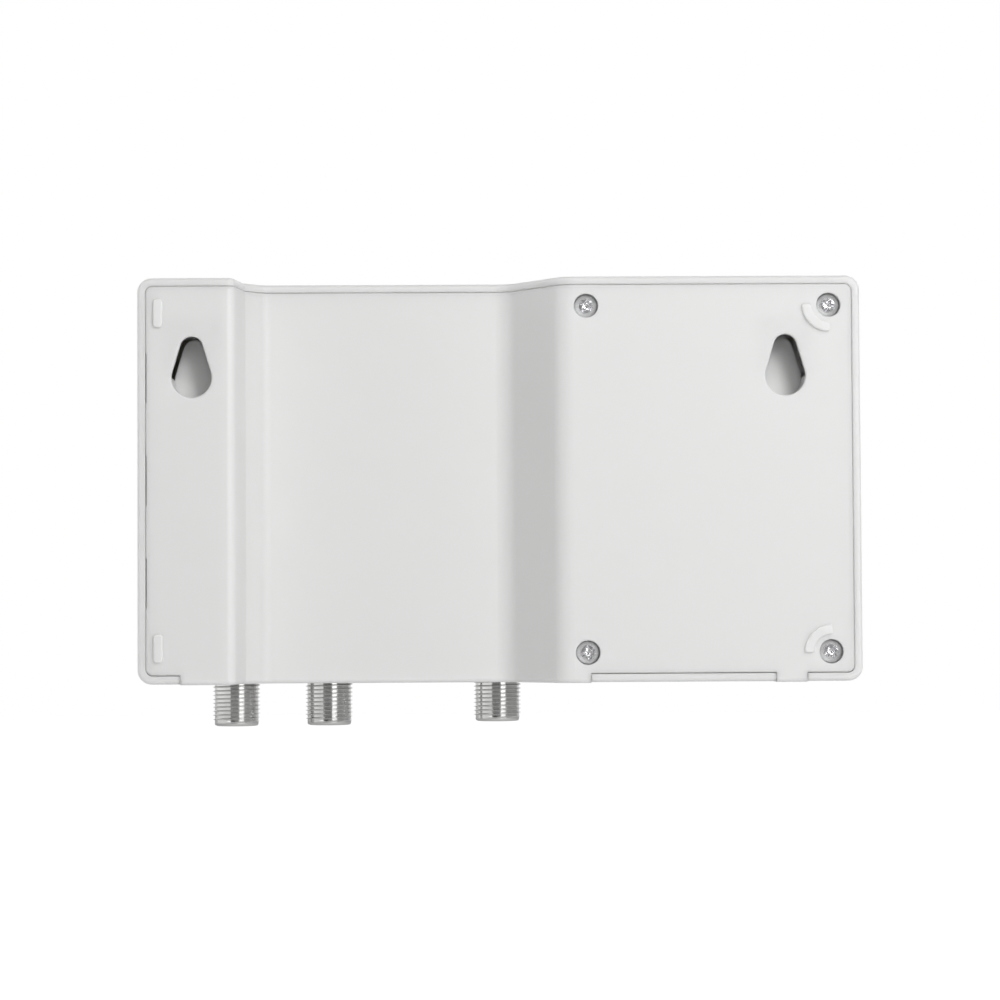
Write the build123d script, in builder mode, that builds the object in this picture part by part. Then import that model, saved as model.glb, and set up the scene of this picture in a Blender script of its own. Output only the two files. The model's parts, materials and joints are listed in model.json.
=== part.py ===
# Household television signal amplifier, hung on a wall with its sockets pointing down.
# Millimetres. X runs to the right as seen from the wall side, Y points from the wall into the
# room, Z is up. The origin lies on the wall, halfway between the two screws it hangs on.
import math
import os

from build123d import *

os.makedirs("parts", exist_ok=True)

# Overall size of the case
case_width = 140.0
case_height = 78.6
case_depth = 34.2
corner_radius = 2.8
front_edge_radius = 3.0
rear_edge_radius = 0.8

# Walls and the joint between the two shells
wall = 2.5
front_wall = 2.2
rim = 1.6
seam_gap = 0.05
lower_seam_gap = 0.13
cover_thickness = 2.0
inner_corner_radius = 1.0
cover_corner_radius = 1.3
cover_edge_radius = 0.22
rim_edge_radius = 0.25
face_margin = 0.12
overrun = 5.0

# Stepped back of the case, measured from its left side
step_from_left = 18.7
step_run = 1.5
blend_run = 3.4
kink_depth_share = 0.69
slope_foot_from_left = 71.9
slope_run = 10.15
step_edge_radius = 1.6
kink_radius = 1.2
blend_radius = 3.0
slope_foot_radius = 4.5
slope_crest_radius = 4.5
least_round = 0.3

# Keyholes for two wall screws
keyhole_step_share = 0.5615
keyhole_right_margin = 14.5
hang_drop = 13.65
hang_travel = 5.7
shank_slot_radius = 2.25
head_entry_radius = 3.9
keyhole_cup_depth = 8.0
keyhole_cup_wall = 1.4
keyhole_cup_floor = 1.4
keyhole_edge_radius = 0.25
keyhole_lip = 1.0

# Feet that stand on the wall
foot_height = 0.8
foot_embed = 0.4
foot_edge_radius = 0.3
foot_width = 1.85
bar_foot_length = 5.5
bar_foot_inset = 4.05
bar_foot_end_inset = 6.9
bar_foot_corner = 0.7
arc_foot_radius = 4.3
arc_foot_overlap = 0.2
arc_foot_corner = 0.5

# Cover screws and their posts
screw_end_margin = 5.7
screw_side_margin = 6.05
screw_crest_gap = 4.85
screw_recess_depth = 2.7
screw_seat_thickness = 1.6
cover_boss_wall = 0.65
post_radius = 3.4
screw_head_radius = 2.1
screw_head_gap = 0.25
screw_head_height = 1.5
screw_head_dome = 0.7
screw_radius = 1.25
screw_reach = 9.0
screw_tip = 1.0
screw_hole_clearance = 0.15
thread_fit = 0.02
pilot_extra_depth = 1.0
cross_width_share = 0.27
cross_span_share = 1.36
cross_depth_share = 0.5
screw_turns = (12, 58, 33, 76)

# Hooks along the left side of the cover
hook_count = 3
hook_pitch = 19.85
hook_length = 9.7
hook_end_gap = 0.3
hook_thickness = 1.2
hook_reach = 4.0
hook_lug = 0.6
hook_lug_height = 1.4
hook_notch = 0.17
hook_clearance = 0.2

# Tongues of the cover that close the socket openings in the bottom wall
wide_tongue_from_left = 8.2
wide_tongue_width = 79.3
tongue_thickness = 2.2
tongue_proud = 0.15
tongue_gap = 0.05

# Circuit board and its screws
board_standoff = 2.2
board_thickness = 1.6
board_side_gap = 1.5
board_post_gap = 0.5
board_post_radius = 2.6
board_screw_radius = 1.1
board_screw_inset = 3.5
board_screw_reach = 3.0
board_screw_head_radius = 1.9
board_screw_head_height = 1.2
board_screw_corner_shift = 15.0
board_hole_clearance = 0.2

# Threaded sockets
port_names = ("first_output", "second_output", "aerial_input")
output_from_left = (17.54, 36.01)
input_slope_gap = 2.33
port_protrusion = (8.7, 8.6, 8.0)
port_axis_height = 6.1
port_crest_radius = 4.7
port_thread_depth = 0.48
port_thread_pitch = 0.79375
port_thread_turns = 10
port_crest_share = 0.26
port_root_share = 0.06
port_tip_chamfer = 0.6
port_hole_clearance = 0.6
port_bore_radius = 3.2
port_insulator_fit = 0.03
port_insulator_setback = 0.3
port_insulator_length = 9.5
port_contact_hole_radius = 0.6
port_contact_radius = 1.1
port_contact_fit = 0.03
port_contact_length = 7.0
port_contact_setback = 1.2
flange_across_flats = 11.0
flange_thickness = 2.4
flange_wall_gap = 0.3
flange_cover_gap = 0.1
block_width = 10.0
block_length = 9.4

# Power inlet
inlet_post_gap = 0.09
inlet_opening_radius = 3.05
inlet_axis_height = 6.5
inlet_side_wall = 1.35
inlet_back_wall = 0.85
inlet_end_wall = 4.0
inlet_wall_gap = 0.15
inlet_bore_radius = 2.85
inlet_bore_depth = 10.0
inlet_pin_radius = 1.0
inlet_pin_setback = 1.4
inlet_pin_tip = 0.4
inlet_spring_width = 2.4
inlet_spring_thickness = 0.3
inlet_spring_slot_depth = 0.8
inlet_spring_setback = 1.2
inlet_spring_length = 7.0
inlet_fit = 0.03

# Gain control
dial_from_right = 36.0
dial_from_bottom = 21.0
dial_radius = 7.6
dial_height = 3.5
dial_edge_chamfer = 0.5
dial_well_gap = 0.6
dial_well_depth = 2.4
dial_well_floor = 1.4
dial_floor_gap = 0.3
dial_flutes = 24
dial_flute_radius = 0.45
dial_pointer_width = 1.0
dial_pointer_depth = 0.5
dial_pointer_start_share = 0.35
dial_bore_depth = 2.3
shaft_radius = 3.0
shaft_running_gap = 0.05
shaft_wall_gap = 0.4
shaft_board_gap = 0.6
shaft_press_gap = 0.02
shaft_seat_depth = 4.0
pot_width = 9.8
pot_length = 11.0
pot_height = 6.5

# Indicator lamp and its light guide
lamp_width = 1.6
lamp_length = 3.2
lamp_height = 0.8
guide_radius = 1.5
guide_flange_radius = 2.3
guide_flange_thickness = 1.0
guide_proud = 0.2
guide_dome = 0.25
guide_fit = 0.05

# Screening box over the tuner circuits
fence_left_gap = 5.0
fence_top_gap = 14.0
fence_block_gap = 0.8
fence_height = 9.0
fence_thickness = 0.5
lid_thickness = 0.4
lid_skirt = 2.0
lid_fit = 0.05
partition_share = 0.46
supply_room = 53.05
upper_row_share = 0.7
lower_row_share = 0.25

# Parts inside the screening box
chip_width = 4.5
chip_length = 2.6
chip_height = 1.5
chip_pitch = 16.0
coil_outer_radius = 1.9
coil_bore_radius = 1.3
coil_length = 5.0
coil_pitch = 5.6
coil_end_gap = 0.5
core_width = 6.0
core_length = 7.0
core_height = 4.0
core_bore_radius = 0.9
core_bore_pitch = 3.0
ceramic_width = 0.9
ceramic_length = 1.6
ceramic_height = 0.7
ceramic_pitch_x = 4.6
ceramic_pitch_z = 4.4
ceramic_end_gap = 3.0
ceramic_rows = 3

# Power supply parts
capacitor_radius = 5.0
capacitor_cup_gap = 2.8
capacitor_groove_radius = 0.5
capacitor_groove_rise = 2.6
capacitor_pitch = 13.0
capacitor_top_gap = 12.0
capacitor_right_gap = 8.0
choke_radius = 6.0
choke_height = 9.0
choke_flange_thickness = 1.4
choke_core_radius = 2.6
choke_winding_gap = 0.1
choke_winding_radius = 5.3
choke_left_gap = 16.5
regulator_width = 10.0
regulator_body_depth = 4.4
regulator_body_height = 9.0
regulator_tab_thickness = 1.3
regulator_tab_height = 15.5
regulator_tab_hole_radius = 1.8
regulator_choke_gap = 18.0

# Depths, from the wall side to the front
land_y = foot_height
front_y = land_y + case_depth
front_inner_y = front_y - front_wall
board_front_y = front_inner_y - board_standoff
board_y = board_front_y - board_thickness
port_y = board_y - port_axis_height
inlet_y = board_y - inlet_axis_height
flange_corner_radius = flange_across_flats / math.sqrt(3)
valley_y = port_y - flange_corner_radius - flange_cover_gap - cover_thickness
valley_drop = valley_y - land_y
cover_inner_y = land_y + cover_thickness
screw_seat_y = land_y + screw_recess_depth
cover_boss_y = screw_seat_y + screw_seat_thickness
screw_pilot_y = cover_boss_y + screw_reach + pilot_extra_depth
board_pilot_y = board_front_y + board_screw_reach
hook_end_y = cover_inner_y + hook_reach
cup_floor_y = land_y + keyhole_cup_depth
cup_end_y = cup_floor_y + keyhole_cup_floor
capacitor_height = board_y - cup_end_y - capacitor_cup_gap
well_floor_y = front_y - dial_well_depth
well_inner_y = well_floor_y - dial_well_floor
behind_y = land_y - overrun

# Sides of the case
keyhole_left_margin = step_from_left * keyhole_step_share
keyhole_spacing = case_width - keyhole_left_margin - keyhole_right_margin
case_left = -keyhole_spacing / 2 - keyhole_left_margin
case_right = case_left + case_width
case_top = hang_drop
case_bottom = case_top - case_height
case_mid_x = (case_left + case_right) / 2
case_mid_z = (case_top + case_bottom) / 2
inner_bottom = case_bottom + wall
below_z = case_bottom - overrun

# Radii of holes and seats
recess_corner_radius = cover_corner_radius + seam_gap
screw_recess_radius = screw_head_radius + screw_head_gap
cover_boss_radius = screw_recess_radius + cover_boss_wall
port_hole_radius = port_crest_radius + port_hole_clearance
dial_well_radius = dial_radius + dial_well_gap

# Stepped profile of the back
step_edge_x = case_left + step_from_left
kink_x = step_edge_x + step_run
kink_y = land_y + valley_drop * kink_depth_share
valley_left_x = kink_x + blend_run
slope_foot_x = case_left + slope_foot_from_left
slope_crest_x = slope_foot_x + slope_run
back_corners = [
    Vector(case_left - overrun, land_y),
    Vector(step_edge_x, land_y),
    Vector(kink_x, kink_y),
    Vector(valley_left_x, valley_y),
    Vector(slope_foot_x, valley_y),
    Vector(slope_crest_x, land_y),
    Vector(case_right + overrun, land_y),
]
back_radii = [step_edge_radius, kink_radius, blend_radius, slope_foot_radius, slope_crest_radius]

# Places of screws, hooks, keyholes, sockets and controls
keyhole_xs = (-keyhole_spacing / 2, keyhole_spacing / 2)
screw_xs = (slope_crest_x + screw_crest_gap, case_right - screw_side_margin)
screw_zs = (case_bottom + screw_end_margin, case_top - screw_end_margin)
screw_places = [(x, z) for x in screw_xs for z in screw_zs]
hook_zs = [case_mid_z + hook_pitch * (i - (hook_count - 1) / 2) for i in range(hook_count)]
port_xs = [case_left + distance for distance in output_from_left] + [slope_foot_x - input_slope_gap]
wide_tongue_left = case_left + wide_tongue_from_left
wide_tongue_right = wide_tongue_left + wide_tongue_width
inlet_half_width = inlet_bore_radius + inlet_side_wall
inlet_x = screw_xs[1] - post_radius - inlet_post_gap - inlet_half_width
dial_x = case_right - dial_from_right
dial_z = case_bottom + dial_from_bottom
lamp_x = inlet_x

# Circuit board
board_left = case_left + wall + board_side_gap
board_right = screw_xs[1] - post_radius - board_post_gap
board_bottom = screw_zs[0] + post_radius + board_post_gap
board_top = screw_zs[1] - post_radius - board_post_gap
board_screw_places = [
    (board_left + board_screw_inset, board_top - board_screw_inset),
    (board_left + board_screw_inset, board_bottom + board_screw_inset),
    (board_right - board_screw_inset, board_top - board_screw_inset),
    (board_right - board_screw_inset - board_screw_corner_shift, board_bottom + board_screw_inset),
]


def facing_wall(y):
    """Plane at depth y whose normal points to the wall, with local x along X and local y along Z."""
    return Plane.XZ.offset(-y)


def box_between(low, high, mode=Mode.ADD):
    """Box from its low corner to its high corner."""
    size = [b - a for a, b in zip(low, high)]
    middle = [(a + b) / 2 for a, b in zip(low, high)]
    with Locations(tuple(middle)):
        Box(*size, mode=mode)


def rod(x, z, radius, start_y, end_y, mode=Mode.ADD):
    """Round rod along Y from start_y to end_y."""
    with BuildSketch(facing_wall(start_y)) as end:
        with Locations((x, z)):
            Circle(radius)
    extrude(end.sketch, amount=start_y - end_y, mode=mode)


def upright(x, y, radius, low_z, high_z, mode=Mode.ADD):
    """Round rod along Z from low_z to high_z."""
    with BuildSketch(Plane.XY.offset(low_z)) as end:
        with Locations((x, y)):
            Circle(radius)
    extrude(end.sketch, amount=high_z - low_z, mode=mode)


def keyhole(x, grow, start_y, end_y, mode=Mode.ADD):
    """Pear-shaped prism round a hanging place, larger than the keyhole by grow."""
    with BuildSketch(facing_wall(start_y)) as pear:
        with Locations((x, 0)):
            Circle(shank_slot_radius + grow)
        with Locations((x, -hang_travel)):
            Circle(head_entry_radius + grow)
        make_hull()
    extrude(pear.sketch, amount=start_y - end_y, mode=mode)


def sideways(start, end):
    """Unit vector square to a run of the profile, pointing into the case."""
    run = (end - start).normalized()
    return Vector(-run.Y, run.X)


def moved_corners(setback):
    """Corners of the back's profile, moved into the case by setback."""
    moved = [back_corners[0] + sideways(*back_corners[:2]) * setback]
    for before, here, after in zip(back_corners, back_corners[1:], back_corners[2:]):
        first = sideways(before, here)
        second = sideways(here, after)
        moved.append(here + (first + second) * (setback / (1 + first.dot(second))))
    moved.append(back_corners[-1] + sideways(*back_corners[-2:]) * setback)
    return moved


def moved_radii(setback):
    """Corner radii of the moved profile: outer corners get tighter, hollows get wider."""
    radii = []
    for before, here, after, radius in zip(back_corners, back_corners[1:], back_corners[2:], back_radii):
        turns_in = (here - before).cross(after - here).Z > 0
        radii.append(max(radius - setback, least_round) if turns_in else radius + setback)
    return radii


def cut_to_profile(setback, far_y):
    """Takes away everything between the moved profile and far_y."""
    corners = moved_corners(setback)
    with BuildSketch(Plane.XY.offset(below_z)) as region:
        with BuildLine():
            FilletPolyline(*corners, radius=moved_radii(setback))
            Polyline(corners[-1], (corners[-1].X, far_y), (corners[0].X, far_y), corners[0])
        make_face()
    extrude(region.sketch, amount=case_height + overrun * 2, mode=Mode.SUBTRACT)


def rounded_block(inset, radius, start_y, end_y, lift=0, mode=Mode.ADD):
    """Block with the outline of the case, smaller by inset all round, its lower edge raised by lift."""
    with BuildSketch(facing_wall(start_y)) as outline:
        with Locations((case_mid_x, case_mid_z + lift / 2)):
            RectangleRounded(case_width - inset * 2, case_height - inset * 2 - lift, radius)
    extrude(outline.sketch, amount=start_y - end_y, mode=mode)


def back_edges(part, inset, radius):
    """Edges round the back of a block whose outline is smaller than the case by inset."""
    half = case_width / 2 - inset - radius
    edges = part.edges().filter_by(lambda edge: edge.center().Y < valley_y + face_margin)
    edges -= edges.filter_by(Axis.Y)
    return edges - edges.filter_by(Axis.Z).filter_by(lambda edge: abs(edge.center().X - case_mid_x) < half)


# Envelope of the closed case, rounded along its front and back edges
with BuildPart() as envelope:
    rounded_block(0, corner_radius, land_y, front_y)
    cut_to_profile(0, behind_y)
    fillet(envelope.faces().sort_by(Axis.Y)[-1].edges(), front_edge_radius)
    fillet(back_edges(envelope, 0, corner_radius), rear_edge_radius)

# Ledge inside the casing's walls that the cover rests on
with BuildPart() as ledge:
    rounded_block(rim, recess_corner_radius, land_y, front_inner_y)
    rounded_block(wall, inner_corner_radius, land_y, front_inner_y, mode=Mode.SUBTRACT)
    cut_to_profile(cover_thickness, behind_y)

# Space inside the rim, with the mouth's edge to be rounded
with BuildPart() as mouth:
    rounded_block(rim, recess_corner_radius, land_y, front_inner_y)
    cut_to_profile(0, behind_y)

# Front casing: front wall, side walls, posts and the sockets' openings
with BuildPart() as front_casing:
    add(envelope.part)
    add(mouth.part, mode=Mode.SUBTRACT)
    inner_rim = [
        edge
        for edge in back_edges(front_casing, rim, recess_corner_radius)
        if abs(edge.center().X - case_mid_x) < case_width / 2 - rim + face_margin
        and abs(edge.center().Z - case_mid_z) < case_height / 2 - rim + face_margin
    ]
    fillet(inner_rim, rim_edge_radius)
    add(ledge.part)

    # Window for the sockets and slot for the power inlet
    box_between(
        (wide_tongue_left, behind_y, below_z),
        (wide_tongue_right, port_y, inner_bottom),
        mode=Mode.SUBTRACT,
    )
    box_between(
        (inlet_x - inlet_opening_radius, behind_y, below_z),
        (inlet_x + inlet_opening_radius, inlet_y, inner_bottom),
        mode=Mode.SUBTRACT,
    )
    for x in port_xs:
        upright(x, port_y, port_hole_radius, below_z, inner_bottom, mode=Mode.SUBTRACT)
    upright(inlet_x, inlet_y, inlet_opening_radius, below_z, inner_bottom, mode=Mode.SUBTRACT)

    # Slots for the cover's hooks
    for z in hook_zs:
        half = hook_length / 2
        box_between(
            (case_left + rim, behind_y, z - half),
            (case_left + wall + face_margin, hook_end_y + hook_clearance, z + half),
            mode=Mode.SUBTRACT,
        )
        lug_start_y = hook_end_y - hook_lug_height - hook_clearance
        box_between(
            (case_left + rim - hook_lug - hook_clearance, lug_start_y, z - half),
            (case_left + wall, hook_end_y + hook_clearance, z + half),
            mode=Mode.SUBTRACT,
        )

    # Posts for the screws, and the boss behind the well of the gain dial
    for x, z in screw_places:
        rod(x, z, post_radius, cover_boss_y, front_inner_y)
    for x, z in board_screw_places:
        rod(x, z, board_post_radius, board_front_y, front_inner_y)
    rod(dial_x, dial_z, dial_well_radius + front_wall, well_inner_y, front_inner_y)

    # Screw holes, the well of the dial and the hole of the light guide
    for x, z in screw_places:
        rod(x, z, screw_radius + thread_fit, cover_boss_y, screw_pilot_y, mode=Mode.SUBTRACT)
    for x, z in board_screw_places:
        rod(x, z, board_screw_radius + thread_fit, board_front_y, board_pilot_y, mode=Mode.SUBTRACT)
    rod(dial_x, dial_z, dial_well_radius, well_floor_y, front_y + overrun, mode=Mode.SUBTRACT)
    rod(dial_x, dial_z, shaft_radius + shaft_wall_gap, well_inner_y, well_floor_y, mode=Mode.SUBTRACT)
    rod(lamp_x, dial_z, guide_radius + guide_fit, front_inner_y, front_y, mode=Mode.SUBTRACT)
front_casing.part.label = "front_casing"
export_step(front_casing.part, "parts/front_casing.step")

# Tongues of the cover that fill the openings of the bottom wall, with the case's own rounded edge
with BuildPart() as cover_tongues:
    for low_x, high_x, end_y in (
        (wide_tongue_left, wide_tongue_right, port_y),
        (inlet_x - inlet_opening_radius, inlet_x + inlet_opening_radius, inlet_y - inlet_opening_radius),
    ):
        box_between(
            (low_x + tongue_gap, behind_y, below_z),
            (high_x - tongue_gap, end_y - tongue_gap, case_bottom + tongue_thickness),
        )
    add(envelope.part.moved(Location((0, 0, -tongue_proud))), mode=Mode.INTERSECT)
    for x in port_xs:
        upright(x, port_y, port_hole_radius, below_z, inner_bottom, mode=Mode.SUBTRACT)

# Rear cover: stepped plate with tongues, hooks, screw bosses, keyhole cups and feet
with BuildPart() as rear_cover:
    rounded_block(rim + seam_gap, cover_corner_radius, land_y, front_y, lift=lower_seam_gap - seam_gap)
    cut_to_profile(0, behind_y)
    fillet(back_edges(rear_cover, rim + seam_gap, cover_corner_radius), cover_edge_radius)
    cut_to_profile(cover_thickness, front_y + overrun)
    add(cover_tongues.part)

    # Notches in the cover's edge, and hooks there that reach behind the rim of the casing
    for z in hook_zs:
        inner_x = case_left + rim + seam_gap + hook_notch
        box_between(
            (case_left, behind_y, z - hook_length / 2),
            (inner_x, cover_inner_y + face_margin, z + hook_length / 2),
            mode=Mode.SUBTRACT,
        )
        half = hook_length / 2 - hook_end_gap
        box_between(
            (inner_x, land_y + cover_thickness / 2, z - half),
            (inner_x + hook_thickness, hook_end_y, z + half),
        )
        box_between(
            (inner_x - hook_lug, hook_end_y - hook_lug_height, z - half),
            (inner_x + hook_thickness, hook_end_y, z + half),
        )

    # Bosses and recessed seats of the four screws
    for x, z in screw_places:
        rod(x, z, cover_boss_radius, land_y + cover_thickness / 2, cover_boss_y)
    for x, z in screw_places:
        rod(x, z, screw_recess_radius, behind_y, screw_seat_y, mode=Mode.SUBTRACT)
        rod(x, z, screw_radius + screw_hole_clearance, screw_seat_y, cover_boss_y, mode=Mode.SUBTRACT)

    # Keyholes: walls round the lower half, and a floor of the keyhole's own outline, so that the
    # screw's head has room behind the thin lips at both sides of the slot
    for x in keyhole_xs:
        keyhole(x, keyhole_cup_wall, land_y + cover_thickness / 2, cup_end_y)
        reach = head_entry_radius + keyhole_cup_wall + face_margin
        box_between(
            (x - reach, land_y + keyhole_lip, -hang_travel),
            (x + reach, cup_end_y + face_margin, reach),
            mode=Mode.SUBTRACT,
        )
        keyhole(x, 0, cup_floor_y, cup_end_y)
        keyhole(x, 0, behind_y, cup_floor_y, mode=Mode.SUBTRACT)
        outline = [
            edge
            for edge in rear_cover.edges()
            if edge.center().Y < land_y + face_margin
            and abs(edge.center().X - x) < reach
            and abs(edge.center().Z + hang_travel / 2) < reach + hang_travel / 2
        ]
        fillet(outline, keyhole_edge_radius)

    # Bar feet on the left, quarter-ring feet round the right-hand screws
    for z in (case_top - bar_foot_end_inset, case_bottom + bar_foot_end_inset):
        with BuildSketch(facing_wall(land_y + foot_embed)):
            with Locations((case_left + bar_foot_inset, z)):
                RectangleRounded(foot_width, bar_foot_length, bar_foot_corner)
        extrude(amount=foot_height + foot_embed)
    for z, side in zip(screw_zs, (1, -1)):
        with BuildSketch(facing_wall(land_y + foot_embed)) as arc_foot:
            with Locations((screw_xs[1], z)):
                Circle(arc_foot_radius + foot_width / 2)
                Circle(arc_foot_radius - foot_width / 2, mode=Mode.SUBTRACT)
            from_screw = arc_foot_radius - arc_foot_overlap
            with Locations((screw_xs[1] - from_screw, z + side * from_screw)):
                Rectangle(arc_foot_radius * 2, arc_foot_radius * 2, mode=Mode.INTERSECT)
            fillet(arc_foot.vertices(), arc_foot_corner)
        extrude(amount=foot_height + foot_embed)
    foot_tops = rear_cover.faces().filter_by(Axis.Y).group_by(Axis.Y)[0]
    fillet(foot_tops.edges(), foot_edge_radius)
rear_cover.part.label = "rear_cover"
export_step(rear_cover.part, "parts/rear_cover.step")


def cross_recess(x, z, seat_y, head_radius, head_height, turn):
    """Cross recess in a screw's head, turned as the screw was left."""
    with BuildSketch(facing_wall(seat_y - head_height)) as cross:
        with Locations((x, z)):
            Rectangle(head_radius * cross_span_share, head_radius * cross_width_share, rotation=turn)
            Rectangle(head_radius * cross_width_share, head_radius * cross_span_share, rotation=turn)
    extrude(cross.sketch, amount=-head_height * cross_depth_share, mode=Mode.SUBTRACT)


# Four screws of the cover
with BuildPart() as cover_screws:
    for x, z in screw_places:
        rod(x, z, screw_head_radius, screw_seat_y - screw_head_height, screw_seat_y)
        rod(x, z, screw_radius, screw_seat_y, cover_boss_y + screw_reach)
    rims = cover_screws.edges().filter_by(GeomType.CIRCLE).filter_by(
        lambda edge: edge.radius > screw_radius + screw_hole_clearance
    )
    fillet(rims.group_by(Axis.Y)[0], screw_head_dome)
    chamfer(cover_screws.edges().group_by(Axis.Y)[-1], screw_tip)
    for (x, z), turn in zip(screw_places, screw_turns):
        cross_recess(x, z, screw_seat_y, screw_head_radius, screw_head_height, turn)
cover_screws.part.label = "cover_screws"
export_step(cover_screws.part, "parts/cover_screws.step")

# Circuit board
with BuildPart() as circuit_board:
    box_between((board_left, board_y, board_bottom), (board_right, board_front_y, board_top))
    for x, z in board_screw_places:
        rod(x, z, board_screw_radius + board_hole_clearance, board_y, board_front_y, mode=Mode.SUBTRACT)
    rod(dial_x, dial_z, shaft_radius + shaft_board_gap, board_y, board_front_y, mode=Mode.SUBTRACT)
circuit_board.part.label = "circuit_board"
export_step(circuit_board.part, "parts/circuit_board.step")

# Four screws of the board
with BuildPart() as board_screws:
    for (x, z), turn in zip(board_screw_places, screw_turns):
        rod(x, z, board_screw_head_radius, board_y - board_screw_head_height, board_y)
        rod(x, z, board_screw_radius, board_y, board_pilot_y)
        cross_recess(x, z, board_y, board_screw_head_radius, board_screw_head_height, turn)
board_screws.part.label = "board_screws"
export_step(board_screws.part, "parts/board_screws.step")

# Three threaded sockets, each a barrel, an insulator and a spring contact
for name, x, protrusion in zip(port_names, port_xs, port_protrusion):
    tip_z = case_bottom - protrusion
    flange_z = inner_bottom + flange_wall_gap
    block_z = flange_z + flange_thickness
    root_radius = port_crest_radius - port_thread_depth
    flank = port_thread_pitch * (1 - port_crest_share - port_root_share) / 2
    profile = [(port_bore_radius, tip_z), (port_crest_radius - port_tip_chamfer, tip_z)]
    z = tip_z + port_tip_chamfer
    for turn in range(port_thread_turns):
        profile += [
            (port_crest_radius, z),
            (port_crest_radius, z + port_thread_pitch * port_crest_share),
            (root_radius, z + port_thread_pitch * port_crest_share + flank),
            (root_radius, z + port_thread_pitch - flank),
        ]
        z += port_thread_pitch
    bore_end_z = tip_z + port_insulator_setback + port_insulator_length
    profile += [(root_radius, flange_z), (0, flange_z), (0, bore_end_z), (port_bore_radius, bore_end_z)]

    with BuildPart() as barrel:
        axis_plane = Plane(origin=(x, port_y, 0), x_dir=(1, 0, 0), z_dir=(0, -1, 0))
        with BuildSketch(axis_plane):
            with BuildLine():
                Polyline(*profile, close=True)
            make_face()
        revolve(axis=Axis((x, port_y, 0), (0, 0, 1)))
        with BuildSketch(Plane.XY.offset(flange_z)):
            with Locations((x, port_y)):
                RegularPolygon(flange_across_flats / 2, 6, major_radius=False)
        extrude(amount=flange_thickness)
        box_between(
            (x - block_width / 2, port_y - block_width / 2, block_z),
            (x + block_width / 2, board_y, block_z + block_length),
        )
    barrel.part.label = name + "_barrel"
    export_step(barrel.part, "parts/" + name + "_barrel.step")

    insulator_z = tip_z + port_insulator_setback
    contact_z = tip_z + port_contact_setback
    contact_end_z = contact_z + port_contact_length
    with BuildPart() as insulator:
        upright(x, port_y, port_bore_radius - port_insulator_fit, insulator_z, bore_end_z)
        upright(x, port_y, port_contact_hole_radius, insulator_z, contact_z, mode=Mode.SUBTRACT)
        upright(x, port_y, port_contact_radius, contact_z, contact_end_z, mode=Mode.SUBTRACT)
    insulator.part.label = name + "_insulator"
    export_step(insulator.part, "parts/" + name + "_insulator.step")

    with BuildPart() as contact:
        upright(x, port_y, port_contact_radius - port_contact_fit, contact_z, contact_end_z)
        upright(x, port_y, port_contact_hole_radius, contact_z, contact_end_z, mode=Mode.SUBTRACT)
    contact.part.label = name + "_contact"
    export_step(contact.part, "parts/" + name + "_contact.step")

# Power inlet
inlet_z = inner_bottom + inlet_wall_gap
with BuildPart() as power_inlet_body:
    slot_y = inlet_y - inlet_bore_radius - inlet_spring_slot_depth
    box_between(
        (inlet_x - inlet_half_width, slot_y - inlet_back_wall, inlet_z),
        (inlet_x + inlet_half_width, board_y, inlet_z + inlet_bore_depth + inlet_end_wall),
    )
    upright(inlet_x, inlet_y, inlet_bore_radius, inlet_z, inlet_z + inlet_bore_depth, mode=Mode.SUBTRACT)
    half = inlet_spring_width / 2 + inlet_fit
    box_between(
        (inlet_x - half, slot_y, inlet_z + inlet_spring_setback - inlet_fit),
        (inlet_x + half, inlet_y, inlet_z + inlet_spring_setback + inlet_spring_length + inlet_fit),
        mode=Mode.SUBTRACT,
    )
power_inlet_body.part.label = "power_inlet_body"
export_step(power_inlet_body.part, "parts/power_inlet_body.step")

with BuildPart() as power_inlet_pin:
    upright(inlet_x, inlet_y, inlet_pin_radius, inlet_z + inlet_pin_setback, inlet_z + inlet_bore_depth)
    chamfer(power_inlet_pin.edges().group_by(Axis.Z)[0], inlet_pin_tip)
power_inlet_pin.part.label = "power_inlet_pin"
export_step(power_inlet_pin.part, "parts/power_inlet_pin.step")

with BuildPart() as power_inlet_spring:
    box_between(
        (inlet_x - inlet_spring_width / 2, slot_y, inlet_z + inlet_spring_setback),
        (
            inlet_x + inlet_spring_width / 2,
            slot_y + inlet_spring_thickness,
            inlet_z + inlet_spring_setback + inlet_spring_length,
        ),
    )
power_inlet_spring.part.label = "power_inlet_spring"
export_step(power_inlet_spring.part, "parts/power_inlet_spring.step")

# Gain control: potentiometer on the board, its shaft, and the dial in the front wall
with BuildPart() as gain_pot_body:
    box_between(
        (dial_x - pot_width / 2, board_y - pot_height, dial_z - pot_length / 2),
        (dial_x + pot_width / 2, board_y, dial_z + pot_length / 2),
    )
    seat_radius = shaft_radius + shaft_running_gap
    rod(dial_x, dial_z, seat_radius, board_y - shaft_seat_depth, board_y, mode=Mode.SUBTRACT)
gain_pot_body.part.label = "gain_pot_body"
export_step(gain_pot_body.part, "parts/gain_pot_body.step")

dial_base_y = well_floor_y + dial_floor_gap
shaft_end_y = dial_base_y + dial_bore_depth
with BuildPart() as gain_shaft:
    rod(dial_x, dial_z, shaft_radius, board_y - shaft_seat_depth + shaft_running_gap, shaft_end_y)
gain_shaft.part.label = "gain_shaft"
export_step(gain_shaft.part, "parts/gain_shaft.step")

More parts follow.
